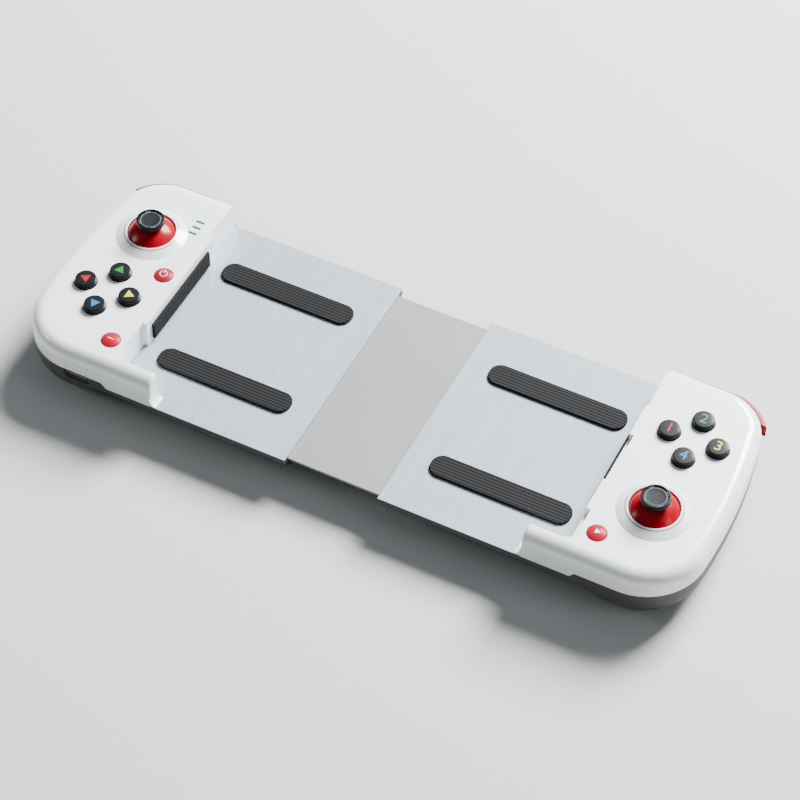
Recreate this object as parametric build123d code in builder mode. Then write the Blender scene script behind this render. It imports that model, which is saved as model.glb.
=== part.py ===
from build123d import *
import os
from math import asin, cos, degrees, radians, sin, sqrt

os.makedirs("parts", exist_ok=True)

# Telescoping gamepad. X runs along its length, +Y away from the player and +Z up out of the buttons.
# The origin is on the surface it rests on, below the middle of the whole object. Millimetres.

# Overall sizes of the two handles. A distance from the wall runs outwards in X from the wall that ends
# the pocket, at recess_x; one from a corner also runs in Y from the handle's near or far edge.
cradle_length = 160.8
clamp_pad_thickness = 1.0
tab_depth = 1.6
handle_width = 41.5
overall_depth = 89.6
shoulder_reach = 3.1
belly_depth = 14.9
cover_height = 9.1
wall = 2.0
inner_wall = 2.2

# Plan outline of a handle
side_bow_radius = 200.0
side_bow_y = -8.0
near_corner_radius = 21.5
far_corner_radius = 17.0
top_edge_radius = 4.5
belly_edge_radius = 11.5
belly_start = 2.6
belly_run = 20.0
finger_rise_start_y = 2.0
finger_rise = 5.5

# Pocket that the held device lies in
pocket_depth = 10.9
arm_width = 5.3
arm_reach = 15.4
arm_end_radius = 1.2
arm_root_radius = 2.8
pocket_corner_radius = 4.0
ledge_depth = 2.8
left_tabs = [(-22.0, 23.0)]
right_tabs = [(8.3, 22.0), (-25.7, -12.5)]
step_from_wall = 2.5
step_run = 1.8

# Sleeve and slider of the bridge
closed_gap = 1.0
sleeve_height = 7.0
sleeve_far_inset = 1.2
sleeve_side = 2.2
sleeve_chamfer = 4.7
sleeve_floor = 1.4
neck_length = 10.0
neck_margin = 8.0
cover_plate = 1.2
cover_lip = 0.3
tunnel_inset = 4.0
slider_hold = 33.5
slider_side_gap = 0.3
slider_face_gap = 0.2
slider_chamfer = 3.1
slide_in = 16.5
slide_out = 6.5

# Springs and flat cable in the bridge
spring_rows = [-20.0, 16.0]
spring_radius = 1.7
spring_wire = 0.6
spring_slot_width = 5.0
spring_slot_x = 24.0
spring_inner_x = 26.0
spring_outer_x = 62.0
hook_post_radius = 0.9
spring_hook_length = 3.0
hook_play = 0.05
cable_width = 12.0
cable_thickness = 0.3
cable_y = -2.0
cable_gap = 0.2
cable_floor = 1.0
cable_fold_gap = 4.0
cable_fold_slider_gap = 4.0
cable_fold_radius = 0.6
cable_rise_from_wall = 5.6

# Rubber pads in the pocket
clamp_pad_half_width = 19.0
clamp_pad_low = 1.2
clamp_pad_high = 7.9
floor_pad_thickness = 1.0
pad_edge = 0.3
floor_pad_width = 9.0
floor_pad_rows = [-24.0, 20.0]
floor_pad_corner = 4.0
floor_pad_inner_margin = 9.0
floor_pad_outer_margin = 7.0

# Thumbsticks
stick_from_wall = 18.0
left_stick_y = 15.0
right_stick_y = -17.0
ring_height = 1.9
ring_radius = 8.8
ring_lip_radius = 8.6
ring_lip_depth = 0.3
cone_radius = 12.4
stick_opening_radius = 8.1
dome_radius = 11.0
dome_gap = 0.35
dome_wall = 1.6
stick_tilt = 20.0
stick_click = 0.5
cap_radius = 4.9
cap_neck_radius = 3.1
cap_neck_height = 1.3
cap_height = 2.9
cap_hollow = 0.5
cap_rim = 0.8
cap_edge = 0.35
stem_radius = 2.6
stem_clear = 3.25
shaft_radius = 1.3
shaft_cover = 1.0
shaft_reach = 2.8
hub_radius = 2.3
hub_half_height = 1.6
hub_pin_radius = 0.6
gimbal_radius = 4.6
gimbal_bore = 3.5
gimbal_half_height = 1.0
gimbal_pin_radius = 0.7
pin_play = 0.05
housing_width = 12.0
housing_wall = 1.0
housing_low = 5.65
housing_high = 1.45
ear_rise = 1.55
ear_half_width = 2.2
click_switch_radius = 1.5
click_gap = 0.05

# Round black buttons, four to a cluster
cluster_from_wall = 18.0
left_cluster_y = -14.5
right_cluster_y = 15.0
cluster_offset = 8.5
button_radius = 3.8
button_cap_radius = 3.45
button_step_height = 1.0
button_proud = 0.8
button_edge = 0.35
button_gap = 0.25
button_travel = 1.2
flange_width = 0.8
flange_thickness = 0.8
flange_gap = 0.2
plunger_radius = 1.6
plunger_length = 0.6

# Small red dome buttons
small_radius = 3.2
small_rise = 0.9
small_crown_radius = 7.0
small_travel = 0.5
small_post_radius = 1.4
small_post_gap = 0.15
small_flange_width = 0.6
power_from_wall = (4.6, 0.0)
select_from_corner = (5.5, 11.4)
start_from_corner = (5.5, 11.4)

# Circuit board, keypad mat, switches and lights
board_inset = 4.6
board_thickness = 1.2
board_far_inset = 7.9
stick_clear_radius = 11.8
mat_radius = 12.4
mat_thickness = 0.8
mat_dome_low_radius = 3.2
mat_dome_high_radius = 2.0
mat_gap = 0.1
switch_width = 3.0
switch_height = 1.8
light_from_wall = 5.8
light_y = 24.55
light_pitch = 2.85
light_rows = [light_y - light_pitch, light_y, light_y + light_pitch]
light_bar = (3.0, 0.9)
light_gap = 0.1
light_plate = (4.0, 7.6, 1.4)
port_from_wall = 12.8
port_width = 9.4
port_height = 3.0
port_depth = 6.8
port_recess = 0.6
port_gap = 0.3
port_wall = 0.4
port_tongue_width = 7.0
port_tongue_height = 0.8
battery_size = (12.0, 36.0, 5.0)
battery_from_wall = (21.0, -11.0, 5.0)
battery_rib = 1.2
battery_edge = 1.0
battery_rib_rows = [-24.0, -11.0, 2.0]

# Case screws and the columns they pass through
screws_from_wall = [(4.3, 31.0), (4.3, -22.0), (30.5, 6.0), (31.5, -25.5)]
screw_column_radius = 3.2
screw_boss_radius = 2.5
screw_radius = 1.0
screw_head_radius = 1.9
screw_head_height = 1.5
screw_seat_z = 9.7
screw_tip_z = 18.5
screw_play = 0.1
seat_play = 0.02
head_play = 0.3
screw_socket_width = 1.2
support_radius = 4.6

# Shoulder buttons
bumper_shift_x = 1.4
bumper_reach = 1.3
bumper_from_pin = 2.5
bumper_end_inset = 7.5
bumper_low = 0.7
bumper_height = 5.0
bumper_overlap = 1.4
bumper_gap = 0.35
bumper_web = 5.0
bumper_swing = 2.5
bumper_edge = 1.0
bumper_pin_from_corner = (6.5, 4.9)
bumper_pin_radius = 0.9
bumper_eye_radius = 2.2
bumper_arm_width = 3.2
bumper_pin_low = 2.4
bumper_pin_high = 7.9
trigger_from_pin = 3.0
trigger_width = 18.0
trigger_gap = 0.4
trigger_pivot = (6.1, 12.4)
trigger_pin_radius = 1.0
trigger_hub_radius = 2.0
trigger_rib = 1.3
trigger_slot_floor = 6.8
trigger_slot_inset = 10.2
trigger_wall_inset = 4.5
trigger_spring_width = 4.0
trigger_spring_radius = 1.9
trigger_spring_bore = 1.15
trigger_spring_leg = 0.6
trigger_rib_half = 2.4
trigger_pin_margin = 0.2
trigger_notch_inset = 3.7
trigger_notch_z = 9.0
trigger_brow = (2.5, 14.4)
trigger_hollow = (1.5, 9.6)
trigger_tip = (3.1, 4.6)
trigger_nose = (2.7, 3.8)
trigger_heel = (1.5, 3.7)
trigger_back = [(-0.5, 5.2), (-2.3, 9.0), (-5.1, 10.6), (-7.3, 14.2)]

# Levels and edges that follow from these
tab_x = cradle_length / 2 + clamp_pad_thickness
recess_x = tab_x + tab_depth
outer_x = tab_x + handle_width
near_y = -overall_depth / 2
far_y = overall_depth / 2 - shoulder_reach
sleeve_far_y = far_y - sleeve_far_inset
seam_z = belly_depth
top_z = belly_depth + cover_height
ceiling_z = top_z - wall
floor_z = top_z - pocket_depth
sleeve_low_z = floor_z - sleeve_height
lip_z = floor_z - cover_lip
plate_low_z = floor_z - cover_plate
sleeve_inner_x = slide_in + closed_gap / 2
arm_end_x = recess_x - arm_reach
step_x = recess_x + step_from_wall
neck_end_x = recess_x + neck_length
tunnel_end_x = recess_x - tunnel_inset
slider_half_length = sleeve_inner_x + slide_out + slider_hold
cable_fold_outer_x = tunnel_end_x - cable_fold_gap
cable_fold_inner_x = slider_half_length + cable_fold_slider_gap
cable_rise_x = recess_x + cable_rise_from_wall
floor_pad_inner_x = sleeve_inner_x + floor_pad_inner_margin
floor_pad_outer_x = recess_x - floor_pad_outer_margin
stick_x = recess_x + stick_from_wall
cluster_x = recess_x + cluster_from_wall
power_place = (recess_x + power_from_wall[0], power_from_wall[1])
select_place = (recess_x + select_from_corner[0], near_y + select_from_corner[1])
start_place = (recess_x + start_from_corner[0], near_y + start_from_corner[1])
light_x = recess_x + light_from_wall
port_x = recess_x + port_from_wall
battery_place = (recess_x + battery_from_wall[0], *battery_from_wall[1:])
screw_places = [(recess_x + x, y) for x, y in screws_from_wall]
pocket_near_y = near_y + arm_width
cavity_x = recess_x + inner_wall
sleeve_chamfer_z = sleeve_low_z + sleeve_chamfer
belly_start_x = recess_x + belly_start
slider_low_z = sleeve_low_z + sleeve_floor + slider_face_gap
slider_high_z = plate_low_z - slider_face_gap
slider_mid_z = (slider_low_z + slider_high_z) / 2
cable_low_z = slider_low_z + cable_floor
cable_fold_drop = 2.2 * cable_fold_radius
cable_top_z = cable_low_z + 2 * cable_fold_drop
cable_slot_half = cable_thickness / 2 + cable_gap
cable_slot_span = (cable_y - cable_width / 2 - cable_gap, cable_y + cable_width / 2 + cable_gap)
ring_z = top_z + ring_height
pivot_z = ring_z - sqrt((dome_radius + dome_gap) ** 2 - stick_opening_radius ** 2)
ring_lip_foot_radius = sqrt((dome_radius + dome_gap) ** 2 - (ring_z - ring_lip_depth - pivot_z) ** 2)
board_high_z = seam_z + board_thickness
mat_high_z = board_high_z + mat_thickness
button_high_z = top_z + button_travel + button_proud
flange_high_z = ceiling_z - flange_gap
flange_low_z = flange_high_z - flange_thickness
plunger_low_z = flange_low_z - plunger_length
bumper_low_z = seam_z + bumper_low
bumper_high_z = bumper_low_z + bumper_height
bumper_pin_from_middle = recess_x + bumper_pin_from_corner[0]
bumper_inner_x = bumper_pin_from_middle + bumper_from_pin
bumper_room = radians(bumper_swing) * (outer_x + bumper_shift_x - bumper_pin_from_middle) + bumper_gap
port_z = seam_z - port_gap - port_height / 2
housing_floor_z = pivot_z - housing_low + housing_wall
click_high_z = pivot_z - shaft_reach - stick_click - click_gap
opening_angle = degrees(asin(stick_opening_radius / (dome_radius + dome_gap)))
dome_skirt_z = pivot_z + dome_radius * cos(radians(opening_angle + stick_tilt * sqrt(2) + 1))
cap_seat_z = pivot_z + sqrt(dome_radius ** 2 - cap_neck_radius ** 2)
cap_top_z = cap_seat_z + cap_height
cap_hollow_radius = ((cap_radius - cap_rim) ** 2 + cap_hollow ** 2) / (2 * cap_hollow)
shaft_high_z = cap_seat_z - shaft_cover
small_post_low_z = board_high_z + switch_height + small_travel + small_post_gap
board_far_y = far_y - board_far_inset
bumper_end_y = far_y - bumper_end_inset
bumper_pin_y = far_y - bumper_pin_from_corner[1]
trigger_inner_x = bumper_pin_from_middle + trigger_from_pin
trigger_outer_x = trigger_inner_x + trigger_width
trigger_middle_x = trigger_inner_x + trigger_width / 2
trigger_spring_x = (trigger_middle_x - trigger_spring_width / 2, trigger_middle_x + trigger_spring_width / 2)
trigger_pin_length = trigger_width + 2 * (trigger_gap + trigger_rib - trigger_pin_margin)
trigger_pivot_y = far_y - trigger_pivot[0]
trigger_pivot_z = trigger_pivot[1]
run_past = 1.0
beyond = 60.0


def cylinder_span(x, y, low, high, radius, mode=Mode.ADD):
    """Upright cylinder between two levels."""
    with Locations((x, y, (low + high) / 2)):
        Cylinder(radius, high - low, mode=mode)


def box_span(side, x_span, y_span, z_span, mode=Mode.ADD):
    """Box between two edges on each axis, mirrored to the left half by side -1."""
    middle = [(span[0] + span[1]) / 2 for span in (x_span, y_span, z_span)]
    with Locations((side * middle[0], middle[1], middle[2])):
        Box(x_span[1] - x_span[0], y_span[1] - y_span[0], z_span[1] - z_span[0], mode=mode)


def handle_outline(side, inset):
    """Plan of a handle without its arm, shrunk by inset all round."""
    inner = recess_x + inset
    near = near_y + inset
    far = far_y - inset
    bow = side_bow_radius - inset
    centre_x = outer_x - side_bow_radius
    near_x = centre_x + sqrt(bow ** 2 - (near - side_bow_y) ** 2)
    far_x = centre_x + sqrt(bow ** 2 - (far - side_bow_y) ** 2)
    with BuildSketch() as outline:
        with BuildLine():
            Line((side * inner, near), (side * near_x, near))
            ThreePointArc((side * near_x, near), (side * (centre_x + bow), side_bow_y), (side * far_x, far))
            Polyline((side * far_x, far), (side * inner, far), (side * inner, near))
        make_face()
        near_corner = outline.vertices().sort_by_distance((side * near_x, near))[0]
        fillet(near_corner, radius=near_corner_radius - inset)
        far_corner = outline.vertices().sort_by_distance((side * far_x, far))[0]
        fillet(far_corner, radius=far_corner_radius - inset)
    return outline.sketch


def belly(side, inset):
    """Lower body of a handle: deep under the palm, shallow at the bridge and below the fingers."""
    edge_radius = belly_edge_radius - inset
    with BuildPart() as body:
        with BuildSketch(Plane.XY.offset(seam_z)):
            add(handle_outline(side, inset))
        extrude(amount=inset - seam_z)
        rim = body.edges().group_by(Axis.Z)[0]
        fillet(rim.filter_by(lambda edge: abs(edge.center().X) > recess_x + inset + wall), radius=edge_radius)
        with BuildSketch(Plane.XZ):
            with BuildLine():
                start = (side * belly_start_x, sleeve_chamfer_z + inset)
                middle = (side * (belly_start_x + belly_run / 2), sleeve_chamfer_z / 2 + inset)
                end = (side * (belly_start_x + belly_run), inset)
                first = TangentArc(start, middle, tangent=(side, 0))
                TangentArc(middle, end, tangent=first % 1)
                Polyline(end, (side * (belly_start_x + belly_run), -run_past), (side * arm_end_x, -run_past),
                         (side * arm_end_x, sleeve_chamfer_z + inset), start)
            make_face()
        extrude(amount=beyond, both=True, mode=Mode.SUBTRACT)
        with BuildSketch(Plane.YZ.offset(side * arm_end_x)):
            with BuildLine():
                start = (finger_rise_start_y, inset)
                end = (far_y, finger_rise + inset)
                TangentArc(start, end, tangent=(1, 0))
                Polyline(end, (beyond, finger_rise + inset), (beyond, -run_past),
                         (finger_rise_start_y, -run_past), start)
            make_face()
        extrude(amount=side * beyond, mode=Mode.SUBTRACT)
    return body.part


def sleeve_section(side_inset, low, high, chamfer_size):
    """Cross-section of the bridge, across Y and Z, with both lower corners cut off."""
    near = near_y + side_inset
    far = sleeve_far_y - side_inset
    with BuildSketch() as section:
        with BuildLine():
            Polyline((near, high), (near, low + chamfer_size), (near + chamfer_size, low),
                     (far - chamfer_size, low), (far, low + chamfer_size), (far, high), close=True)
        make_face()
    return section.sketch


def below_step(side):
    """Solid under the seam of the white cover: the seam steps down from the handle to the bridge."""
    with BuildPart() as body:
        with BuildSketch(Plane.XZ):
            with BuildLine():
                Polyline((side * (step_x - step_run / 2), lip_z), (side * (step_x + step_run / 2), seam_z),
                         (side * (outer_x + run_past), seam_z), (side * (outer_x + run_past), plate_low_z),
                         (side * (step_x - step_run / 2), plate_low_z), close=True)
            make_face()
        extrude(amount=beyond, both=True)
    return body.part


def above_step(side):
    """Solid over the same seam on the bridge side of the step."""
    with BuildPart() as body:
        with BuildSketch(Plane.XZ):
            with BuildLine():
                Polyline((side * (step_x - step_run / 2), lip_z), (side * (step_x + step_run / 2), seam_z),
                         (side * (step_x + step_run / 2), seam_z + run_past),
                         (side * arm_end_x, seam_z + run_past),
                         (side * arm_end_x, lip_z), close=True)
            make_face()
        extrude(amount=beyond, both=True)
    return body.part


def bumper_plan(side, growth):
    """Crescent of a shoulder button: the outline moved out, less its inside. Growth makes its slot."""
    with BuildSketch() as plan:
        add(handle_outline(side, -growth).moved(Location((side * bumper_shift_x, bumper_reach))))
        add(handle_outline(side, bumper_overlap + growth), mode=Mode.SUBTRACT)
        low = bumper_end_y - growth
        inner = bumper_inner_x - growth
        with Locations((side * (inner + beyond / 2), low + beyond / 2)):
            Rectangle(beyond, beyond, mode=Mode.INTERSECT)
    return plan.sketch


def upper_cavity(side):
    """Space inside the white cover."""
    with BuildPart() as body:
        with BuildSketch(Plane.XY.offset(lip_z - run_past)):
            add(handle_outline(side, wall))
        extrude(amount=ceiling_z - lip_z + run_past)
        box_span(side, (recess_x, cavity_x), (near_y, far_y), (lip_z - 2 * run_past, ceiling_z + run_past),
                 mode=Mode.SUBTRACT)
        outer_edges = body.edges().group_by(Axis.Z)[-1].filter_by(
            lambda edge: abs(edge.center().X) > cavity_x + wall)
        fillet(outer_edges, radius=top_edge_radius - wall)
    return body.part


def cluster_places(centre_y):
    """Centres of four buttons in a diamond, as left, top, right and bottom offsets from the cluster."""
    reach = cluster_offset
    return [(-reach, centre_y), (0, centre_y + reach), (reach, centre_y), (0, centre_y - reach)]


def finish(builder, name):
    """Label one piece and write it."""
    builder.part.label = name
    export_step(builder.part, f"parts/{name}.step")


# The slide that both halves run on, with open slots at each end for the springs and a channel for the cable
with BuildPart() as centre_slider:
    with BuildSketch(Plane.YZ.offset(-slider_half_length)):
        add(sleeve_section(sleeve_side + slider_side_gap, slider_low_z, slider_high_z, slider_chamfer))
    extrude(amount=2 * slider_half_length)
    for side in (-1, 1):
        for row in spring_rows:
            box_span(side, (spring_slot_x, slider_half_length + run_past),
                     (row - spring_slot_width / 2, row + spring_slot_width / 2),
                     (slider_low_z - run_past, slider_high_z + run_past), mode=Mode.SUBTRACT)
            with Locations(Location((side * spring_inner_x, row, slider_mid_z), (90, 0, 0))):
                Cylinder(hook_post_radius, spring_slot_width)
    box_span(1, (-slider_half_length - run_past, slider_half_length + run_past), cable_slot_span,
             (cable_low_z - cable_slot_half, cable_low_z + cable_slot_half), mode=Mode.SUBTRACT)
finish(centre_slider, "centre_slider")

# Flat cable: through the slider, folded once in each tunnel for the travel, and up to both boards
with BuildPart() as ribbon_cable:
    for side in (-1, 1):
        fold_outer_x = side * cable_fold_outer_x
        fold_inner_x = side * cable_fold_inner_x
        with BuildSketch(Plane.XZ.offset(-cable_y)):
            with BuildLine():
                FilletPolyline((0, cable_low_z), (fold_outer_x, cable_low_z),
                               (fold_outer_x, cable_low_z + cable_fold_drop),
                               (fold_inner_x, cable_low_z + cable_fold_drop), (fold_inner_x, cable_top_z),
                               (side * cable_rise_x, cable_top_z), (side * cable_rise_x, seam_z - cable_gap),
                               radius=cable_fold_radius)
            trace(line_width=cable_thickness)
        extrude(amount=cable_width / 2, both=True)
finish(ribbon_cable, "ribbon_cable")

halves = [("left", -1, left_stick_y, left_cluster_y, left_tabs),
          ("right", 1, right_stick_y, right_cluster_y, right_tabs)]
small_buttons = {
    "left": [("power_button", power_place), ("select_button", select_place)],
    "right": [("start_button", start_place)]}
cluster_names = {
    "left": ["dpad_left_button", "dpad_up_button", "dpad_right_button", "dpad_down_button"],
    "right": ["face_button_1", "face_button_2", "face_button_3", "face_button_4"]}

for half, side, stick_y, cluster_y, tabs in halves:
    cluster_centres = [(side * cluster_x + dx, y) for dx, y in cluster_places(cluster_y)]
    small_centres = [(side * place[0], place[1]) for name, place in small_buttons[half]]
    screw_centres = [(side * x, y) for x, y in screw_places]
    centre_x = side * stick_x
    bumper_pin_x = side * bumper_pin_from_middle

    # White cover: handle top, arm along the near edge and the top plate of the sleeve in one moulding
    with BuildPart() as upper_shell:
        with BuildSketch(Plane.XY.offset(lip_z)) as plan:
            add(handle_outline(side, 0))
            with Locations((side * (arm_end_x + recess_x + run_past) / 2, near_y + arm_width / 2)):
                Rectangle(recess_x + run_past - arm_end_x, arm_width)
            pocket_corner = plan.vertices().sort_by_distance((side * recess_x, pocket_near_y))[0]
            fillet(pocket_corner, radius=pocket_corner_radius)
        extrude(amount=top_z - lip_z)
        top_edges = upper_shell.edges().group_by(Axis.Z)[-1]
        outer_edges = top_edges.filter_by(
            lambda edge: edge.center().Y < near_y + wall or edge.center().Y > far_y - wall
            or abs(edge.center().X) > stick_x)
        fillet(outer_edges, radius=top_edge_radius)
        arm_end = upper_shell.faces().filter_by(Axis.X).sort_by(lambda face: abs(face.center().X))[0]
        arm_rim = arm_end.edges().filter_by(
            lambda edge: edge.center().Z > floor_z and edge.center().Y < pocket_near_y)
        fillet(arm_rim, radius=arm_end_radius)
        box_span(side, (sleeve_inner_x, recess_x + run_past), (near_y, sleeve_far_y), (lip_z, floor_z))
        with BuildSketch(Plane.XZ.offset(-near_y)):
            with BuildLine():
                cove_x = arm_end_x - arm_root_radius
                cove_z = floor_z + arm_root_radius
                cove_slope = arm_root_radius * sqrt(0.5)
                ThreePointArc((side * cove_x, floor_z), (side * (cove_x + cove_slope), cove_z - cove_slope),
                              (side * arm_end_x, cove_z))
                Polyline((side * arm_end_x, cove_z), (side * (arm_end_x + run_past), cove_z),
                         (side * (arm_end_x + run_past), lip_z), (side * cove_x, lip_z),
                         (side * cove_x, floor_z))
            make_face()
        extrude(amount=-arm_width)
        box_span(side, (sleeve_inner_x, tunnel_end_x - slider_face_gap),
                 (near_y + sleeve_side + slider_face_gap, sleeve_far_y - sleeve_side - slider_face_gap),
                 (plate_low_z, lip_z))
        for low, high in tabs:
            box_span(side, (tab_x, recess_x + run_past), (low, high), (lip_z, top_z))
        if half == "right":
            box_span(side, (tab_x, recess_x + run_past), (pocket_near_y + pocket_corner_radius, sleeve_far_y),
                     (lip_z, top_z - ledge_depth))
        add(upper_cavity(side), mode=Mode.SUBTRACT)
        with BuildSketch(Plane.XZ.offset(-stick_y)):
            with BuildLine():
                Polyline((centre_x, ceiling_z), (centre_x, ring_z), (centre_x + ring_radius, ring_z),
                         (centre_x + cone_radius, top_z), (centre_x + cone_radius, ceiling_z),
                         close=True)
            make_face()
        revolve(axis=Axis((centre_x, stick_y, 0), (0, 0, 1)))
        with Locations((centre_x, stick_y, pivot_z)):
            Sphere(dome_radius + dome_gap, mode=Mode.SUBTRACT)
        with Locations((centre_x, stick_y, ring_z - ring_lip_depth / 2)):
            Cone(ring_lip_foot_radius, ring_lip_radius, ring_lip_depth, mode=Mode.SUBTRACT)
        for x, y in cluster_centres:
            cylinder_span(x, y, ceiling_z - run_past, top_z + run_past, button_radius + button_gap,
                          mode=Mode.SUBTRACT)
        for x, y in small_centres:
            cylinder_span(x, y, ceiling_z - run_past, top_z + run_past, small_radius + button_gap,
                          mode=Mode.SUBTRACT)
            cylinder_span(x, y, seam_z, ceiling_z, small_radius + small_flange_width + button_gap,
                          mode=Mode.SUBTRACT)
        for x, y in screw_centres:
            cylinder_span(x, y, board_high_z, ceiling_z, screw_boss_radius)
            cylinder_span(x, y, board_high_z - run_past, screw_tip_z + screw_play, screw_radius + seat_play,
                          mode=Mode.SUBTRACT)
        cylinder_span(bumper_pin_x, bumper_pin_y, bumper_high_z + bumper_gap, ceiling_z, bumper_eye_radius)
        cylinder_span(bumper_pin_x, bumper_pin_y, bumper_high_z, seam_z + bumper_pin_high,
                      bumper_pin_radius + seat_play, mode=Mode.SUBTRACT)
        with BuildSketch(Plane.XY.offset(lip_z)):
            add(bumper_plan(side, bumper_room))
        extrude(amount=bumper_high_z + bumper_gap - lip_z, mode=Mode.SUBTRACT)
        add(below_step(side), mode=Mode.SUBTRACT)
        if half == "left":
            with Locations(*[(side * light_x, y, ceiling_z) for y in light_rows]):
                Box(light_bar[0] + 2 * light_gap, light_bar[1] + 2 * light_gap, top_z, mode=Mode.SUBTRACT)
    finish(upper_shell, f"{half}_upper_shell")

    # Dark tray: the belly, the sleeve's channel, and the columns and ribs that carry what is inside
    with BuildPart() as tray_form:
        add(belly(side, 0))
        with BuildSketch(Plane.YZ.offset(side * sleeve_inner_x)):
            add(sleeve_section(0, sleeve_low_z, lip_z, sleeve_chamfer))
        extrude(amount=side * (neck_end_x + wall - sleeve_inner_x))
    with BuildPart() as columns:
        for x, y in screw_centres:
            cylinder_span(x, y, 0, seam_z, screw_column_radius)
        cylinder_span(centre_x, stick_y, 0, pivot_z - housing_low, support_radius)
        cylinder_span(bumper_pin_x, bumper_pin_y, 0, seam_z, bumper_eye_radius)
        for edge_x in (trigger_inner_x - trigger_gap - trigger_rib, trigger_outer_x + trigger_gap):
            box_span(side, (edge_x, edge_x + trigger_rib),
                     (trigger_pivot_y - trigger_rib_half, trigger_pivot_y + trigger_rib_half), (0, seam_z))
        if half == "left":
            for row in battery_rib_rows:
                with Locations((side * battery_place[0], row, battery_place[2] / 2)):
                    Box(battery_size[0], battery_rib, battery_place[2])
        add(tray_form.part, mode=Mode.INTERSECT)
    with BuildPart() as lower_shell:
        add(tray_form.part)
        add(belly(side, wall), mode=Mode.SUBTRACT)
        with BuildSketch(Plane.YZ.offset(side * (sleeve_inner_x - run_past))):
            add(sleeve_section(sleeve_side, sleeve_low_z + sleeve_floor, lip_z + run_past, slider_chamfer))
        extrude(amount=side * (tunnel_end_x - sleeve_inner_x + run_past), mode=Mode.SUBTRACT)
        box_span(side, (tunnel_end_x + wall, neck_end_x), (near_y + neck_margin, sleeve_far_y - neck_margin),
                 (sleeve_low_z + wall, seam_z + run_past), mode=Mode.SUBTRACT)
        box_span(side, (tunnel_end_x - run_past, tunnel_end_x + wall + run_past), cable_slot_span,
                 (cable_top_z - cable_slot_half, cable_top_z + cable_slot_half), mode=Mode.SUBTRACT)
        add(columns.part)
        add(above_step(side), mode=Mode.SUBTRACT)
        for row in spring_rows:
            cylinder_span(side * spring_outer_x, row, sleeve_low_z + sleeve_floor / 2, slider_high_z,
                          hook_post_radius)
        for x, y in screw_centres:
            cylinder_span(x, y, -run_past, screw_seat_z, screw_head_radius + head_play, mode=Mode.SUBTRACT)
            cylinder_span(x, y, 0, seam_z + run_past, screw_radius + screw_play, mode=Mode.SUBTRACT)
        cylinder_span(bumper_pin_x, bumper_pin_y, seam_z - bumper_pin_low, seam_z + run_past,
                      bumper_pin_radius + seat_play, mode=Mode.SUBTRACT)
        window_x = (trigger_inner_x - trigger_gap, trigger_outer_x + trigger_gap)
        box_span(side, window_x, (far_y - trigger_slot_inset, beyond),
                 (trigger_slot_floor, seam_z + run_past), mode=Mode.SUBTRACT)
        box_span(side, window_x, (far_y - trigger_wall_inset, beyond), (-run_past, seam_z + run_past),
                 mode=Mode.SUBTRACT)
        with Locations(Location((trigger_middle_x * side, trigger_pivot_y, trigger_pivot_z), (0, 90, 0))):
            Cylinder(trigger_pin_radius + seat_play, trigger_pin_length + 2 * seat_play, mode=Mode.SUBTRACT)
        if half == "left":
            with BuildSketch(Plane.XZ.offset(-near_y + run_past)):
                with Locations((side * port_x, port_z)):
                    SlotOverall(port_width + 2 * port_gap, port_height + 2 * port_gap)
                with Locations((side * port_x, (port_z + seam_z + run_past) / 2)):
                    Rectangle(port_width + 2 * port_gap, seam_z + run_past - port_z)
            extrude(amount=-(port_depth + run_past), mode=Mode.SUBTRACT)
    finish(lower_shell, f"{half}_lower_shell")

    # Rubber pads: one on the end wall of the pocket, two strips on the top plate of the sleeve
    with BuildPart() as clamp_pad:
        box_span(side, (cradle_length / 2, tab_x), (-clamp_pad_half_width, clamp_pad_half_width),
                 (floor_z + clamp_pad_low, floor_z + clamp_pad_high))
        outer_rim = clamp_pad.faces().filter_by(Axis.X).sort_by(lambda face: abs(face.center().X))[0].edges()
        chamfer(outer_rim, length=pad_edge)
    finish(clamp_pad, f"{half}_clamp_pad")
    with BuildPart() as floor_pads:
        for row in floor_pad_rows:
            box_span(side, (floor_pad_inner_x, floor_pad_outer_x),
                     (row - floor_pad_width / 2, row + floor_pad_width / 2),
                     (floor_z, floor_z + floor_pad_thickness))
        fillet(floor_pads.edges().filter_by(Axis.Z), radius=floor_pad_corner)
        chamfer(floor_pads.faces().group_by(Axis.Z)[-1].edges(), length=pad_edge)
    finish(floor_pads, f"{half}_floor_pads")

    # Springs that pull the half inwards: one eye on the slider's rod, the other on the sleeve's post
    coil_length = spring_outer_x - spring_inner_x - 2 * spring_hook_length
    coil_middle_x = side * (spring_inner_x + spring_outer_x) / 2
    with BuildPart() as tension_springs:
        for row in spring_rows:
            with Locations(Location((coil_middle_x, row, slider_mid_z), (0, 90, 0))):
                Cylinder(spring_radius, coil_length)
            box_span(side, (spring_inner_x, spring_outer_x), (row - spring_wire / 2, row + spring_wire / 2),
                     (slider_mid_z - spring_wire / 2, slider_mid_z + spring_wire / 2))
            with Locations(Location((side * spring_inner_x, row, slider_mid_z), (90, 0, 0)),
                           Location((side * spring_outer_x, row, slider_mid_z), (0, 0, 0))):
                Cylinder(hook_post_radius + hook_play + spring_wire, spring_wire)
                Cylinder(hook_post_radius + hook_play, spring_wire, mode=Mode.SUBTRACT)
    finish(tension_springs, f"{half}_tension_springs")

    # Circuit board, clamped between the columns of the tray and the bosses of the cover
    with BuildPart() as main_board:
        with BuildSketch(Plane.XY.offset(seam_z)):
            add(handle_outline(side, board_inset))
        extrude(amount=board_thickness)
        box_span(side, (recess_x, outer_x), (board_far_y, far_y), (seam_z, board_high_z), mode=Mode.SUBTRACT)
        cylinder_span(centre_x, stick_y, seam_z, board_high_z, stick_clear_radius, mode=Mode.SUBTRACT)
        for x, y in screw_centres:
            cylinder_span(x, y, seam_z, board_high_z, screw_radius + screw_play, mode=Mode.SUBTRACT)
    finish(main_board, f"{half}_main_board")

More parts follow.
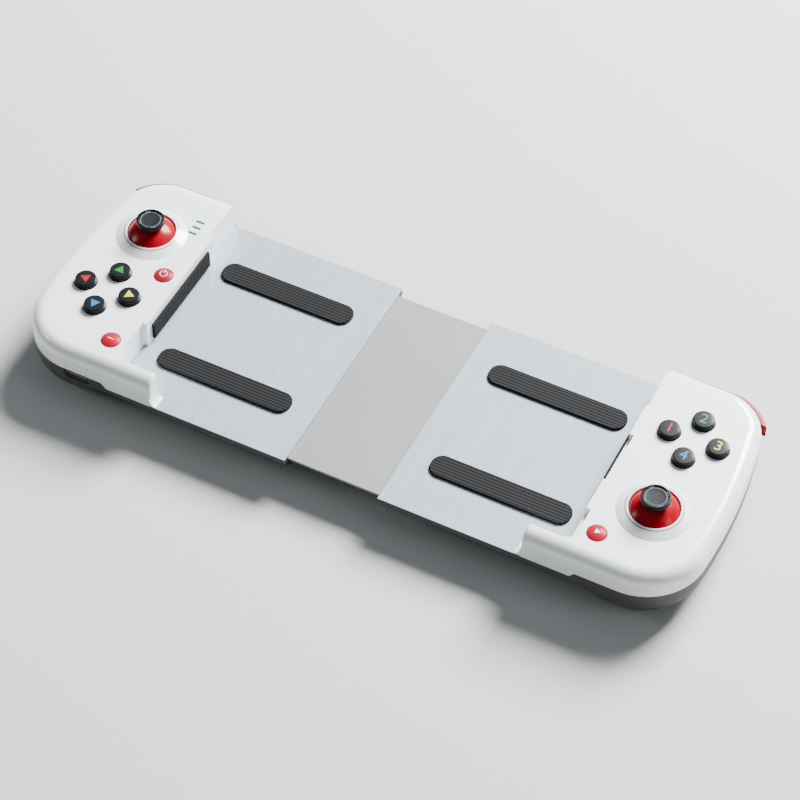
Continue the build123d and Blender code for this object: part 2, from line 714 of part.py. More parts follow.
    # Silicone mat with a dome under each of the four black buttons
    with BuildPart() as keypad_mat:
        cylinder_span(side * cluster_x, cluster_y, board_high_z, mat_high_z, mat_radius)
        dome_height = plunger_low_z - mat_gap - mat_high_z
        with Locations(*[(x, y, mat_high_z + dome_height / 2) for x, y in cluster_centres]):
            Cone(mat_dome_low_radius, mat_dome_high_radius, dome_height)
    finish(keypad_mat, f"{half}_keypad_membrane")

    # Switches under the red buttons, and the one that the stick presses
    with BuildPart() as tact_switches:
        with Locations(*[(x, y, board_high_z + switch_height / 2) for x, y in small_centres]):
            Box(switch_width, switch_width, switch_height)
        cylinder_span(centre_x, stick_y, housing_floor_z, click_high_z, click_switch_radius)
    finish(tact_switches, f"{half}_tact_switches")

    # Case screws, driven up from below into the bosses of the cover
    with BuildPart() as case_screws:
        for x, y in screw_centres:
            cylinder_span(x, y, screw_seat_z - screw_head_height, screw_seat_z, screw_head_radius)
            cylinder_span(x, y, screw_seat_z, screw_tip_z, screw_radius)
            with BuildSketch(Plane.XY.offset(screw_seat_z - screw_head_height)):
                with Locations((x, y)):
                    Rectangle(2 * screw_socket_width, screw_socket_width / 3)
                    Rectangle(screw_socket_width / 3, 2 * screw_socket_width)
            extrude(amount=screw_head_height / 2, mode=Mode.SUBTRACT)
    finish(case_screws, f"{half}_case_screws")

    # Thumbstick: open box with two ears, tilting ring, tilting hub, sliding shaft, red dome and black cap
    with BuildPart() as stick_housing:
        with Locations((centre_x, stick_y, (pivot_z - housing_low + pivot_z - housing_high) / 2)):
            Box(housing_width, housing_width, housing_low - housing_high)
        with Locations((centre_x, stick_y, (housing_floor_z + pivot_z) / 2)):
            Box(housing_width - 2 * housing_wall, housing_width - 2 * housing_wall, pivot_z - housing_floor_z,
                mode=Mode.SUBTRACT)
        for way in (-1, 1):
            with Locations((centre_x + way * (housing_width - housing_wall) / 2, stick_y,
                            (housing_floor_z + pivot_z + ear_rise) / 2)):
                Box(housing_wall, 2 * ear_half_width, pivot_z + ear_rise - housing_floor_z)
        with Locations(Location((centre_x, stick_y, pivot_z), (0, 90, 0))):
            Cylinder(gimbal_pin_radius + pin_play, housing_width + 1, mode=Mode.SUBTRACT)
    finish(stick_housing, f"{half}_stick_housing")
    with BuildPart() as stick_gimbal:
        with Locations((centre_x, stick_y, pivot_z)):
            Cylinder(gimbal_radius, 2 * gimbal_half_height)
        with Locations(Location((centre_x, stick_y, pivot_z), (0, 90, 0))):
            Cylinder(gimbal_pin_radius, housing_width - 2 * pin_play)
        with Locations((centre_x, stick_y, pivot_z)):
            Cylinder(gimbal_bore, 2 * gimbal_half_height, mode=Mode.SUBTRACT)
        with Locations(Location((centre_x, stick_y, pivot_z), (90, 0, 0))):
            Cylinder(hub_pin_radius + pin_play, 2 * gimbal_radius + 1, mode=Mode.SUBTRACT)
    finish(stick_gimbal, f"{half}_stick_gimbal")
    with BuildPart() as stick_hub:
        with Locations((centre_x, stick_y, pivot_z)):
            Cylinder(hub_radius, 2 * hub_half_height)
        with Locations(Location((centre_x, stick_y, pivot_z), (90, 0, 0))):
            Cylinder(hub_pin_radius, 2 * gimbal_radius - 2 * pin_play)
        cylinder_span(centre_x, stick_y, pivot_z - hub_half_height, pivot_z + hub_half_height,
                      shaft_radius + pin_play, mode=Mode.SUBTRACT)
    finish(stick_hub, f"{half}_stick_hub")
    with BuildPart() as stick_shaft:
        with Locations((centre_x, stick_y, pivot_z)):
            Sphere(shaft_reach)
        cylinder_span(centre_x, stick_y, pivot_z - beyond, pivot_z, shaft_radius, mode=Mode.INTERSECT)
        cylinder_span(centre_x, stick_y, pivot_z, shaft_high_z, shaft_radius)
    finish(stick_shaft, f"{half}_stick_shaft")
    with BuildPart() as stick_dome:
        with Locations((centre_x, stick_y, pivot_z)):
            Sphere(dome_radius)
            Sphere(dome_radius - dome_wall, mode=Mode.SUBTRACT)
        cylinder_span(centre_x, stick_y, pivot_z + stem_clear, cap_seat_z, stem_radius)
        cylinder_span(centre_x, stick_y, pivot_z, shaft_high_z, shaft_radius + seat_play,
                      mode=Mode.SUBTRACT)
        cylinder_span(centre_x, stick_y, dome_skirt_z, cap_seat_z, dome_radius, mode=Mode.INTERSECT)
    finish(stick_dome, f"{half}_stick_dome")
    with BuildPart() as stick_cap:
        cylinder_span(centre_x, stick_y, cap_seat_z, cap_top_z - cap_edge, cap_neck_radius)
        cylinder_span(centre_x, stick_y, cap_seat_z + cap_neck_height, cap_top_z, cap_radius)
        cap_rings = stick_cap.edges().filter_by(GeomType.CIRCLE).filter_by(
            lambda edge: edge.radius > (cap_neck_radius + cap_radius) / 2)
        fillet(cap_rings, radius=cap_edge)
        with Locations((centre_x, stick_y, cap_top_z - cap_hollow + cap_hollow_radius)):
            Sphere(cap_hollow_radius, mode=Mode.SUBTRACT)
    finish(stick_cap, f"{half}_stick_cap")

    # Black buttons: stepped disc over a flange that holds it under the cover, and a plunger to its dome
    for name, (x, y) in zip(cluster_names[half], cluster_centres):
        with BuildPart() as cluster_button:
            cylinder_span(x, y, plunger_low_z, flange_low_z, plunger_radius)
            cylinder_span(x, y, flange_low_z, flange_high_z, button_radius + flange_width)
            cylinder_span(x, y, flange_high_z, button_high_z - button_step_height, button_radius)
            cylinder_span(x, y, button_high_z - button_step_height, button_high_z, button_cap_radius)
            chamfer(cluster_button.edges().group_by(Axis.Z)[-1], length=button_edge)
        finish(cluster_button, name)

    # Small red buttons: low crown, the same flange and a post down to the switch
    for name, place in small_buttons[half]:
        x = side * place[0]
        y = place[1]
        with BuildPart() as small_button:
            with Locations((x, y, top_z + small_rise - small_crown_radius)):
                Sphere(small_crown_radius)
            cylinder_span(x, y, flange_high_z, beyond, small_radius, mode=Mode.INTERSECT)
            cylinder_span(x, y, flange_low_z, flange_high_z, small_radius + small_flange_width)
            cylinder_span(x, y, small_post_low_z, flange_low_z, small_post_radius)
        finish(small_button, name)

    # Upper shoulder button: crescent round the far corner, with an arm to its upright pin
    with BuildPart() as bumper:
        with BuildSketch(Plane.XY.offset(bumper_low_z)):
            add(bumper_plan(side, 0))
        extrude(amount=bumper_height)
        crescent_rim = bumper.edges().group_by(Axis.Z)[-1].filter_by(
            lambda edge: edge.center().Y > far_y or abs(edge.center().X) > outer_x - bumper_overlap * 2)
        fillet(crescent_rim, radius=bumper_edge)
        box_span(side, (bumper_inner_x, bumper_inner_x + bumper_web), (bumper_pin_y, far_y),
                 (bumper_low_z, bumper_high_z - bumper_edge))
        box_span(side, (bumper_pin_from_middle, bumper_inner_x + bumper_web),
                 (bumper_pin_y - bumper_arm_width / 2, bumper_pin_y + bumper_arm_width / 2),
                 (bumper_low_z, bumper_high_z - bumper_edge))
        cylinder_span(bumper_pin_x, bumper_pin_y, bumper_low_z, bumper_high_z, bumper_eye_radius)
        cylinder_span(bumper_pin_x, bumper_pin_y, bumper_low_z, bumper_high_z,
                      bumper_pin_radius + pin_play, mode=Mode.SUBTRACT)
    finish(bumper, f"{half}_bumper")
    with BuildPart() as bumper_pin:
        cylinder_span(bumper_pin_x, bumper_pin_y, seam_z - bumper_pin_low, seam_z + bumper_pin_high,
                      bumper_pin_radius)
    finish(bumper_pin, f"{half}_bumper_pin")

    # Lower shoulder button: hollowed finger face, hub on a level pin and a coil spring round the pin
    with BuildPart() as trigger:
        with BuildSketch(Plane((side * trigger_inner_x, far_y, 0), x_dir=(0, 1, 0), z_dir=(1, 0, 0))):
            with BuildLine():
                ThreePointArc(trigger_brow, trigger_hollow, trigger_tip)
                ThreePointArc(trigger_tip, trigger_nose, trigger_heel)
                Polyline(trigger_heel, *trigger_back, trigger_brow)
            make_face()
            with Locations((-trigger_pivot[0], trigger_pivot_z)):
                Circle(trigger_hub_radius)
        extrude(amount=side * trigger_width)
        with BuildSketch(Plane.XY):
            add(handle_outline(side, 0).moved(Location((0, shoulder_reach))))
        extrude(amount=seam_z, mode=Mode.INTERSECT)
        with Locations(Location((trigger_middle_x * side, trigger_pivot_y, trigger_pivot_z), (0, 90, 0))):
            Cylinder(trigger_pin_radius + pin_play, beyond, mode=Mode.SUBTRACT)
        box_span(side, trigger_spring_x, (far_y - trigger_slot_inset, far_y - trigger_notch_inset),
                 (trigger_notch_z, seam_z),
                 mode=Mode.SUBTRACT)
    finish(trigger, f"{half}_trigger")
    with BuildPart() as trigger_pin:
        with Locations(Location((trigger_middle_x * side, trigger_pivot_y, trigger_pivot_z), (0, 90, 0))):
            Cylinder(trigger_pin_radius, trigger_pin_length)
    finish(trigger_pin, f"{half}_trigger_pin")
    with BuildPart() as trigger_spring:
        spring_length = trigger_spring_width - 2 * trigger_gap
        with Locations(Location((trigger_middle_x * side, trigger_pivot_y, trigger_pivot_z), (0, 90, 0))):
            Cylinder(trigger_spring_radius, spring_length)
        for way, leg_low_z in ((-1, trigger_slot_floor), (1, trigger_notch_z)):
            leg_x = trigger_middle_x + way * (spring_length - trigger_spring_leg) / 2
            leg_y = trigger_pivot_y + way * (trigger_spring_radius - trigger_spring_leg / 2)
            leg_height = trigger_pivot_z - leg_low_z
            with Locations((side * leg_x, leg_y, leg_low_z + leg_height / 2)):
                Box(trigger_spring_leg, trigger_spring_leg, leg_height)
        with Locations(Location((trigger_middle_x * side, trigger_pivot_y, trigger_pivot_z), (0, 90, 0))):
            Cylinder(trigger_spring_bore, spring_length, mode=Mode.SUBTRACT)
    finish(trigger_spring, f"{half}_trigger_spring")

# Light pipe of the left half: a plate under the cover with three bars up through its slots
with BuildPart() as led_light_pipe:
    with Locations((-light_x, light_y, ceiling_z - light_plate[2] / 2)):
        Box(*light_plate)
    with Locations(*[(-light_x, y, (ceiling_z + top_z) / 2) for y in light_rows]):
        Box(*light_bar, wall)
finish(led_light_pipe, "led_light_pipe")

# Charging socket of the left half: a flat tube under the board with a tongue in it
with BuildPart() as charging_port:
    with BuildSketch(Plane.XZ.offset(-near_y - port_recess)):
        with Locations((-port_x, port_z)):
            SlotOverall(port_width, port_height)
    extrude(amount=-(port_depth - port_recess))
    with BuildSketch(Plane.XZ.offset(-near_y - port_recess)):
        with Locations((-port_x, port_z)):
            SlotOverall(port_width - 2 * port_wall, port_height - 2 * port_wall)
            Rectangle(port_tongue_width, port_tongue_height, mode=Mode.SUBTRACT)
    extrude(amount=-(port_depth - port_recess - wall), mode=Mode.SUBTRACT)
finish(charging_port, "charging_port")

# Battery of the left half, on the floor of the belly
with BuildPart() as battery:
    with Locations((-battery_place[0], battery_place[1], battery_place[2] + battery_size[2] / 2)):
        Box(*battery_size)
    fillet(battery.edges().filter_by(Axis.Y), radius=battery_edge)
finish(battery, "battery")
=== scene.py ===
from math import cos, pi, radians, sin

import bpy
from mathutils import Matrix, Vector


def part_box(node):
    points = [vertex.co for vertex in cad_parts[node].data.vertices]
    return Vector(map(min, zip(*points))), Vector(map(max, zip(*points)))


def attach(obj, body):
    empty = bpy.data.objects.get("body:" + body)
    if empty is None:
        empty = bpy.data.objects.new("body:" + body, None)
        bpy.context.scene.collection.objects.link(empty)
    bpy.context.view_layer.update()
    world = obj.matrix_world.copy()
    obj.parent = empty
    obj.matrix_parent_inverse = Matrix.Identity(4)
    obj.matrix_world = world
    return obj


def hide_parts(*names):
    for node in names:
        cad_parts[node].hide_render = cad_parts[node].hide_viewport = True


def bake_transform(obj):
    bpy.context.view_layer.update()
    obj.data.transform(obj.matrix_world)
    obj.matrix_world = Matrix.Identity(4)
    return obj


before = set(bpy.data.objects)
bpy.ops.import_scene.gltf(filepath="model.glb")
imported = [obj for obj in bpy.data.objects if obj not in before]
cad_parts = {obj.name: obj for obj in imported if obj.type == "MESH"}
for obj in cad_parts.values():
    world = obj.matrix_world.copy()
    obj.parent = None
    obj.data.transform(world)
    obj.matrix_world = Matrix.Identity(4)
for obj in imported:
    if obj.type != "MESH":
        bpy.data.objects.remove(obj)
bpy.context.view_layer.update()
bpy.ops.object.select_all(action="DESELECT")


# Centre slider: the flat rail that both halves run on, moulded in light grey nylon.
# Its top is burnished along X where the sleeves rub, so fine lines run that way.
class Channel:
    """One number that varies over a surface. Arithmetic on it adds Math nodes to its finish."""

    def __init__(self, finish, socket):
        self.finish = finish
        self.socket = socket

    def maths(self, operation, first, second):
        return self.finish.node("ShaderNodeMath", {"operation": operation}, {0: first, 1: second})

    def __add__(self, other):
        return self.maths("ADD", self, other)

    def __sub__(self, other):
        return self.maths("SUBTRACT", self, other)

    def __rsub__(self, other):
        return self.maths("SUBTRACT", other, self)

    def __mul__(self, other):
        return self.maths("MULTIPLY", self, other)

    def __gt__(self, other):
        return self.maths("GREATER_THAN", self, other)

    def __lt__(self, other):
        return self.maths("LESS_THAN", self, other)

    __radd__ = __add__
    __rmul__ = __mul__


class Finish:
    """Paint, plastic or metal of a piece: one shader and the nodes that feed it."""

    def __init__(self, name, **constants):
        self.material = bpy.data.materials.new(name)
        self.material.use_nodes = True
        self.shader = self.material.node_tree.nodes["Principled BSDF"]
        for socket, value in constants.items():
            self.shader.inputs[socket.replace("_", " ")].default_value = value
        self.place = self.node("ShaderNodeTexCoord", {}, {}, "Object")

    def node(self, kind, settings, sockets, output=0):
        """Adds any node: first its settings, then values or channels on its sockets."""
        made = self.material.node_tree.nodes.new(kind)
        for name, value in settings.items():
            setattr(made, name, value)
        for name, value in sockets.items():
            self.feed(made.inputs[name], value)
        return Channel(self, made.outputs[output])

    def feed(self, socket, value):
        if isinstance(value, Channel):
            self.material.node_tree.links.new(value.socket, socket)
        elif isinstance(value, tuple) and len(socket.default_value) == 4:
            socket.default_value = (*value, 1)
        else:
            socket.default_value = value

    def varies(self, socket, value):
        """What changes over the surface goes into the shader here."""
        self.feed(self.shader.inputs[socket], value)

    def noise(self, scale, detail=2.0, stretch=(1, 1, 1)):
        spread = self.node("ShaderNodeMapping", {}, {"Vector": self.place, "Scale": stretch})
        return self.node("ShaderNodeTexNoise", {},
                         {"Vector": spread, "Scale": scale, "Detail": detail})

    def between(self, share, low, high):
        """Colour that goes from low to high as share goes from 0 to 1."""
        return self.node("ShaderNodeMix", {"data_type": "RGBA"}, {0: share, 6: low, 7: high}, 2)

    def relief(self, height, depth):
        """Surface relief of that depth in metres."""
        self.varies("Normal", self.node("ShaderNodeBump", {},
                                        {"Height": height, "Strength": 1.0, "Distance": depth}))

    def axes(self):
        parts = self.node("ShaderNodeSeparateXYZ", {}, {0: self.place}).socket.node
        return [Channel(self, output) for output in parts.outputs]


def dress(finish, *nodes):
    """Gives CAD nodes that keep their shape a finish."""
    for name in nodes:
        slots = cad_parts[name].data.materials
        slots.clear()
        slots.append(finish.material)


rail = Finish("rail_nylon")
rub_lines = rail.noise(260, 3, (0.04, 6, 1))
rail.varies("Base Color", rail.between(rail.noise(30, 4), (0.19, 0.195, 0.20), (0.23, 0.235, 0.24)))
rail.varies("Roughness", rub_lines * 0.25 + 0.32)
rail.relief(rub_lines, 0.000012)
dress(rail, "centre_slider")

# Ribbon cable: flat flexible circuit that joins the halves, folded up into each at its ends.
# It is amber film over parallel copper tracks along X.
cable = Finish("cable_film", Coat_Weight=0.4, Coat_Roughness=0.2)
track_pitch = 0.0008
tracks_across = cable.axes()[1]
track = cable.node("ShaderNodeMath", {"operation": "SINE"},
                   {0: tracks_across * (2 * pi / track_pitch)}) > 0.1
cable.varies("Base Color", cable.between(track, (0.20, 0.07, 0.012), (0.46, 0.19, 0.06)))
cable.varies("Roughness", 0.5 - track * 0.15)
cable.relief(track, 0.00003)
dress(cable, "ribbon_cable")

# Tension springs: two coils of 0.6 mm music wire in each half, drawn out at rest.
# Each coil is one wire section wound along X, with a loop at each end.
# One loop stays on the rail's post and the other goes with the half; here the coil is attached to
# neither.
spring_wire = 0.0006
coil_turns = 26
spring_coil_radius = 0.0013
spring_row_inset = 0.0017
loop_radius = 0.00125
crease_angle = radians(35)
spring_steel = Finish("spring_steel", Metallic=1.0)
drawn_lines = spring_steel.noise(1500, 2, (1, 0.1, 0.1))
spring_steel.varies("Base Color", spring_steel.between(drawn_lines, (0.36, 0.37, 0.39),
                                                       (0.62, 0.63, 0.65)))
spring_steel.varies("Roughness", drawn_lines * 0.2 + 0.22)


def settle(piece, name, body, finish, replaced=()):
    """Finishes a piece: place into the mesh, normals outwards, its finish and body; hides what it
    replaces.
    A piece that bends between two bodies gets None as its body and is attached to none."""
    bpy.ops.object.mode_set(mode="OBJECT")
    bpy.ops.object.select_all(action="DESELECT")
    bpy.context.view_layer.objects.active = piece
    piece.select_set(True)
    for modifier in list(piece.modifiers):
        bpy.ops.object.modifier_apply(modifier=modifier.name)
    bpy.ops.object.transform_apply(location=True, rotation=True, scale=True)
    bpy.ops.object.mode_set(mode="EDIT")
    bpy.ops.mesh.select_all(action="SELECT")
    bpy.ops.mesh.remove_doubles(threshold=1e-7)
    bpy.ops.mesh.normals_make_consistent(inside=False)
    bpy.ops.object.mode_set(mode="OBJECT")
    bpy.ops.object.shade_smooth_by_angle(angle=crease_angle)
    piece.name = name
    piece.data.materials.clear()
    piece.data.materials.append(finish.material)
    if body:
        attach(piece, body)
    if replaced:
        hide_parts(*replaced)
    bpy.ops.object.select_all(action="DESELECT")
    return piece


def join(pieces):
    """Several meshes made one, as the first of them."""
    bpy.ops.object.select_all(action="DESELECT")
    for piece in pieces:
        piece.select_set(True)
    bpy.context.view_layer.objects.active = pieces[0]
    bpy.ops.object.join()
    return pieces[0]


def wind_coil(place, radius, wire, length, turns, wire_sides=8, steps_per_turn=16):
    """Spring coil along X: a round wire section beside the axis, wound round it."""
    bpy.ops.object.select_all(action="DESELECT")
    bpy.ops.mesh.primitive_circle_add(vertices=wire_sides, radius=wire / 2, location=place)
    coil = bpy.context.object
    bpy.ops.object.mode_set(mode="EDIT")
    bpy.ops.transform.translate(value=(0, radius, 0))
    bpy.ops.object.mode_set(mode="OBJECT")
    winding = coil.modifiers.new("winding", "SCREW")
    winding.axis = "X"
    winding.screw_offset = length / turns
    winding.iterations = turns
    winding.steps = winding.render_steps = steps_per_turn
    bpy.ops.object.modifier_apply(modifier="winding")
    return coil


for half, side in (("left", -1), ("right", 1)):
    low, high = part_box(f"{half}_tension_springs")
    middle_x = (low.x + high.x) / 2
    middle_z = (low.z + high.z) / 2
    coil_length = high.x - low.x - 4 * loop_radius - spring_wire
    wound = []
    for row in (low.y + spring_row_inset, high.y - spring_row_inset):
        wound.append(wind_coil((middle_x - coil_length / 2, row, middle_z), spring_coil_radius,
                               spring_wire, coil_length, coil_turns))
        for end in (-1, 1):
            on_rail = end == -side
            bpy.ops.mesh.primitive_torus_add(
                major_radius=loop_radius, minor_radius=spring_wire / 2,
                major_segments=28, minor_segments=8,
                location=(middle_x + end * (coil_length / 2 + loop_radius), row, middle_z),
                rotation=(pi / 2 if on_rail else 0, 0, 0))
            wound.append(bpy.context.object)
    coils = settle(join(wound), f"{half}_spring_coils", None, spring_steel,
                   [f"{half}_tension_springs"])
    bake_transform(coils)


# Lower shells: the dark tray of each half, with palm belly and the channel that runs on the rail.
# Charcoal ABS, spark-eroded matt outside, with a soft sheen where a palm polishes it.
def moulded_plastic(name, deep, pale, roughness, grain, depth, coat=0.0, gloss=0.5):
    """Moulded plastic: two close shades that drift, wandering roughness and a fine grain."""
    finish = Finish(name, Specular_IOR_Level=gloss, Coat_Weight=coat, Coat_Roughness=0.08)
    drift = finish.noise(30, 4)
    finish.varies("Base Color", finish.between(drift, deep, pale))
    finish.varies("Roughness", finish.noise(90, 3) * 0.12 + roughness)
    finish.relief(finish.noise(grain, 1), depth)
    return finish


tray = moulded_plastic("tray_abs", (0.036, 0.037, 0.039), (0.052, 0.053, 0.056), 0.46, 1800,
                       0.00003, 0.04, 0.35)
dress(tray, "left_lower_shell", "right_lower_shell")

# Battery of the left half: a flat cell in an aluminium foil pouch, slightly creased at its folds.
# Amber tape closes the end with the tabs. The pouch lies on the floor of the belly.
pouch = Finish("battery_foil", Metallic=0.75)
crease = pouch.noise(120, 4, (1, 0.35, 1))
tape_edge_y = -0.0005
taped = pouch.axes()[1] > tape_edge_y
pouch.varies("Base Color", pouch.between(taped, (0.52, 0.53, 0.55), (0.55, 0.30, 0.05)))
pouch.varies("Roughness", crease * 0.3 + 0.25)
pouch.relief(crease, 0.0002)
dress(pouch, "battery")

# Circuit boards: one in each half, clamped between the tray's columns and the cover's bosses.
# Glass fibre under dark green solder mask, with fine tracks and rows of tinned pads.
board = Finish("board_mask", Coat_Weight=0.5, Coat_Roughness=0.12)
routing = board.node("ShaderNodeTexBrick", {"offset": 0.35, "squash": 0.6},
                     {"Vector": board.place, "Scale": 420.0, "Mortar Size": 0.035,
                      "Color1": (0, 0, 0), "Color2": (0.15, 0.15, 0.15), "Mortar": (1, 1, 1)})
pad_rows = board.node("ShaderNodeTexVoronoi", {"feature": "F1"},
                      {"Vector": board.place, "Scale": 330.0, "Randomness": 0.25})
tinned = pad_rows < 0.22
mask_green = board.between(routing, (0.006, 0.050, 0.035), (0.016, 0.115, 0.075))
board.varies("Base Color", board.between(tinned, mask_green, (0.62, 0.60, 0.55)))
board.varies("Metallic", tinned * 0.9)
board.varies("Roughness", 0.42 - tinned * 0.1)
board.relief(tinned + routing * 0.4, 0.00003)
dress(board, "left_main_board", "right_main_board")


# Keypad mats: moulded grey silicone, dusty with mould release, a loose round sheet on each board.
# Under each round button stands a dome; the real one folds as that button is pressed, this one
# stays still.
def turn(place, rings, sides=96):
    """Turned piece on an upright axis: a disc, drawn on from ring to ring of (radius, level)."""
    bpy.ops.object.select_all(action="DESELECT")
    radius, level = rings[0]
    bpy.ops.mesh.primitive_circle_add(vertices=sides, radius=radius, fill_type="NGON",
                                      location=(place[0], place[1], level))
    turned = bpy.context.object
    bpy.ops.object.mode_set(mode="EDIT")
    for next_radius, next_level in rings[1:]:
        rise = (0, 0, next_level - level)
        bpy.ops.mesh.extrude_region_move(TRANSFORM_OT_translate={"value": rise})
        grown = next_radius / radius
        bpy.ops.transform.resize(value=(grown, grown, 1),
                                 center_override=(place[0], place[1], next_level))
        radius, level = next_radius, next_level
    bpy.ops.object.mode_set(mode="OBJECT")
    return turned


mat = moulded_plastic("mat_silicone", (0.30, 0.31, 0.32), (0.42, 0.43, 0.44), 0.62, 900, 0.00002)
mat_thickness = 0.0008
mat_edge = 0.0002
dome_low_radius = 0.0032
dome_high_radius = 0.0020
dome_edge = 0.0003
pole_share = 0.05
button_names = ["dpad_left_button", "dpad_up_button", "dpad_right_button", "dpad_down_button",
                "face_button_1", "face_button_2", "face_button_3", "face_button_4"]
for half, pressed in (("left", button_names[:4]), ("right", button_names[4:])):
    low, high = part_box(f"{half}_keypad_membrane")
    middle = (low + high) / 2
    radius = (high.x - low.x) / 2
    sheet_high = low.z + mat_thickness
    sheet = turn(middle, [(radius - mat_edge, low.z), (radius, low.z + mat_edge),
                          (radius, sheet_high - mat_edge), (radius - mat_edge, sheet_high)])
    settle(sheet, f"{half}_mat_sheet", f"{half}_half", mat, [f"{half}_keypad_membrane"])
    for name in pressed:
        cap_low, cap_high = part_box(name)
        place = (cap_low + cap_high) / 2
        rings = [(dome_low_radius + dome_edge, sheet_high),
                 (dome_low_radius, sheet_high + dome_edge)]
        wall_height = high.z - sheet_high - 2 * dome_edge
        rings += [(dome_low_radius + (dome_high_radius - dome_low_radius) * up,
                   sheet_high + dome_edge + wall_height * up) for up in (0.25, 0.5, 0.75, 1)]
        rings += [(dome_high_radius - dome_edge, high.z), (dome_high_radius * pole_share, high.z)]
        dome = settle(turn(place, rings), name.replace("button", "mat_dome"), None, mat,
                      [f"{half}_keypad_membrane"])
        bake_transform(dome)

# Tact switches: one under each red button and one under each stick, soldered to the board.
# What shows is the pressed tin plate on top, rolled along Y.
tin_plate = Finish("switch_tin", Metallic=0.9)
rolled = tin_plate.noise(700, 2, (1, 0.08, 1))
tin_plate.varies("Base Color", tin_plate.between(rolled, (0.42, 0.42, 0.43), (0.66, 0.66, 0.67)))
tin_plate.varies("Roughness", rolled * 0.25 + 0.25)
dress(tin_plate, "left_tact_switches", "right_tact_switches")

# Charging socket: a drawn steel shell soldered to the board, open in the left half's near face.
# A tongue stands inside, and its drawing lines run along X.
socket_steel = Finish("socket_steel", Metallic=1.0)
drawn = socket_steel.noise(900, 2, (0.08, 1, 1))
socket_steel.varies("Base Color", socket_steel.between(drawn, (0.38, 0.38, 0.39),
                                                       (0.60, 0.60, 0.61)))
socket_steel.varies("Roughness", drawn * 0.2 + 0.2)
dress(socket_steel, "charging_port")

# Stick modules and pins: a stamped tin box, a tilt ring and hub of black acetal, and a steel shaft.
# The shaft and the pins of the shoulder buttons are turned, with fine lines round them.
acetal = moulded_plastic("gimbal_acetal", (0.018, 0.018, 0.020), (0.035, 0.035, 0.038), 0.38, 1200,
                         0.00001)
dress(acetal, "left_stick_gimbal", "right_stick_gimbal", "left_stick_hub", "right_stick_hub")
dress(tin_plate, "left_stick_housing", "right_stick_housing")
turned_steel = Finish("turned_steel", Metallic=1.0)
lathe_lines = turned_steel.noise(1200, 2, (0.1, 0.1, 1))
turned_steel.varies("Base Color", turned_steel.between(lathe_lines, (0.34, 0.35, 0.37),
                                                       (0.58, 0.59, 0.61)))
turned_steel.varies("Roughness", lathe_lines * 0.22 + 0.2)
dress(turned_steel, "left_stick_shaft", "right_stick_shaft", "left_bumper_pin", "right_bumper_pin",
      "left_trigger_pin", "right_trigger_pin")

# Stick skirts: glossy red domes pushed onto the shafts, which close the openings at any tilt.
# Moulded in polycarbonate with a deep tint, so the shade drifts as if it were seen through glass.
ruby = Finish("skirt_red", Specular_IOR_Level=0.15, Coat_Weight=0.12, Coat_Roughness=0.06)
depth_of_tint = ruby.noise(160, 3)
ruby.varies("Base Color", ruby.between(depth_of_tint, (0.20, 0.0, 0.004), (0.36, 0.0, 0.010)))
ruby.varies("Roughness", ruby.noise(400, 2) * 0.1 + 0.2)
dress(ruby, "left_stick_dome", "right_stick_dome")


# Stick caps: moulded rubber discs on a narrow neck, bonded to the tops of the domes.
# A raised rim goes round the dish, with a fine ring line and four groups of three short ribs.
# The dish is a bluer, finer-grained grey than the rim; its pale blue is a painted reflection.
# The ring line and ribs are painted paler still, as painted highlight on their crests.
def bar(place, size, heading=0, softness=0.45):
    """Small bar with rounded edges: a rib, a printed stroke or the leg of a spring."""
    bpy.ops.object.select_all(action="DESELECT")
    bpy.ops.mesh.primitive_cube_add(size=1, location=place, scale=size)
    bpy.ops.object.transform_apply(location=False, rotation=False, scale=True)
    made = bpy.context.object
    softening = made.modifiers.new("softening", "BEVEL")
    softening.width = min(size) * softness
    softening.segments = 3
    bpy.ops.object.modifier_apply(modifier="softening")
    made.rotation_euler = (0, 0, heading)
    bpy.ops.object.transform_apply(location=True, rotation=True, scale=True)
    return made


def rounded(radius, level, size, angles, flatness=1.0):
    """Rings of a rounded edge: a circle of that size about (radius, level), at the given angles."""
    return [(radius + size * cos(radians(angle)), level + flatness * size * sin(radians(angle)))
            for angle in angles]


cap_rubber = Finish("cap_rubber", Specular_IOR_Level=0.12)
rim_light = cap_rubber.noise(500, 3)
cap_rubber.varies("Base Color", cap_rubber.between(rim_light, (0.002, 0.0022, 0.0028),
                                                   (0.004, 0.0045, 0.0055)))
cap_rubber.varies("Roughness", rim_light * 0.15 + 0.3)
cap_rubber.relief(cap_rubber.noise(2600, 1), 0.00002)
# Dish: a bluer, paler grey, painted reflection on the top of the cap.
dish_rubber = Finish("cap_dish_painted_sheen", Specular_IOR_Level=0.12)
dish_sheen_drift = dish_rubber.noise(420, 4)
dish_rubber.varies("Base Color", dish_rubber.between(dish_sheen_drift, (0.005, 0.0075, 0.010),
                                                     (0.010, 0.014, 0.018)))
dish_rubber.varies("Roughness", dish_sheen_drift * 0.2 + 0.42)
dish_rubber.relief(dish_rubber.noise(2200, 1), 0.00004)
# Ring line and ribs: a paler grey, painted highlight on their crests.
rib_highlight_rubber = Finish("cap_rib_painted_highlight", Specular_IOR_Level=0.2)
rib_highlight_drift = rib_highlight_rubber.noise(900, 3)
rib_highlight_rubber.varies("Base Color", rib_highlight_rubber.between(rib_highlight_drift, (0.10, 0.115, 0.13),
                                                             (0.17, 0.19, 0.21)))
rib_highlight_rubber.varies("Roughness", rib_highlight_drift * 0.2 + 0.3)
cap_round = 0.00035
rim_width = 0.0006
neck_radius = 0.0031
disc_height = 0.0016
rim_chamfer = 0.00008
dish_depth = 0.0004
dish_bow = 0.0001
line_share = 0.8
line_foot = 0.00014
line_crest = 0.00006
line_height = 0.00012
rib_size = (0.00072, 0.00028, 0.00022)
rib_spread = 9
rib_lift = 0.00006
dish_margin = 0.0001
raised = 0.00005
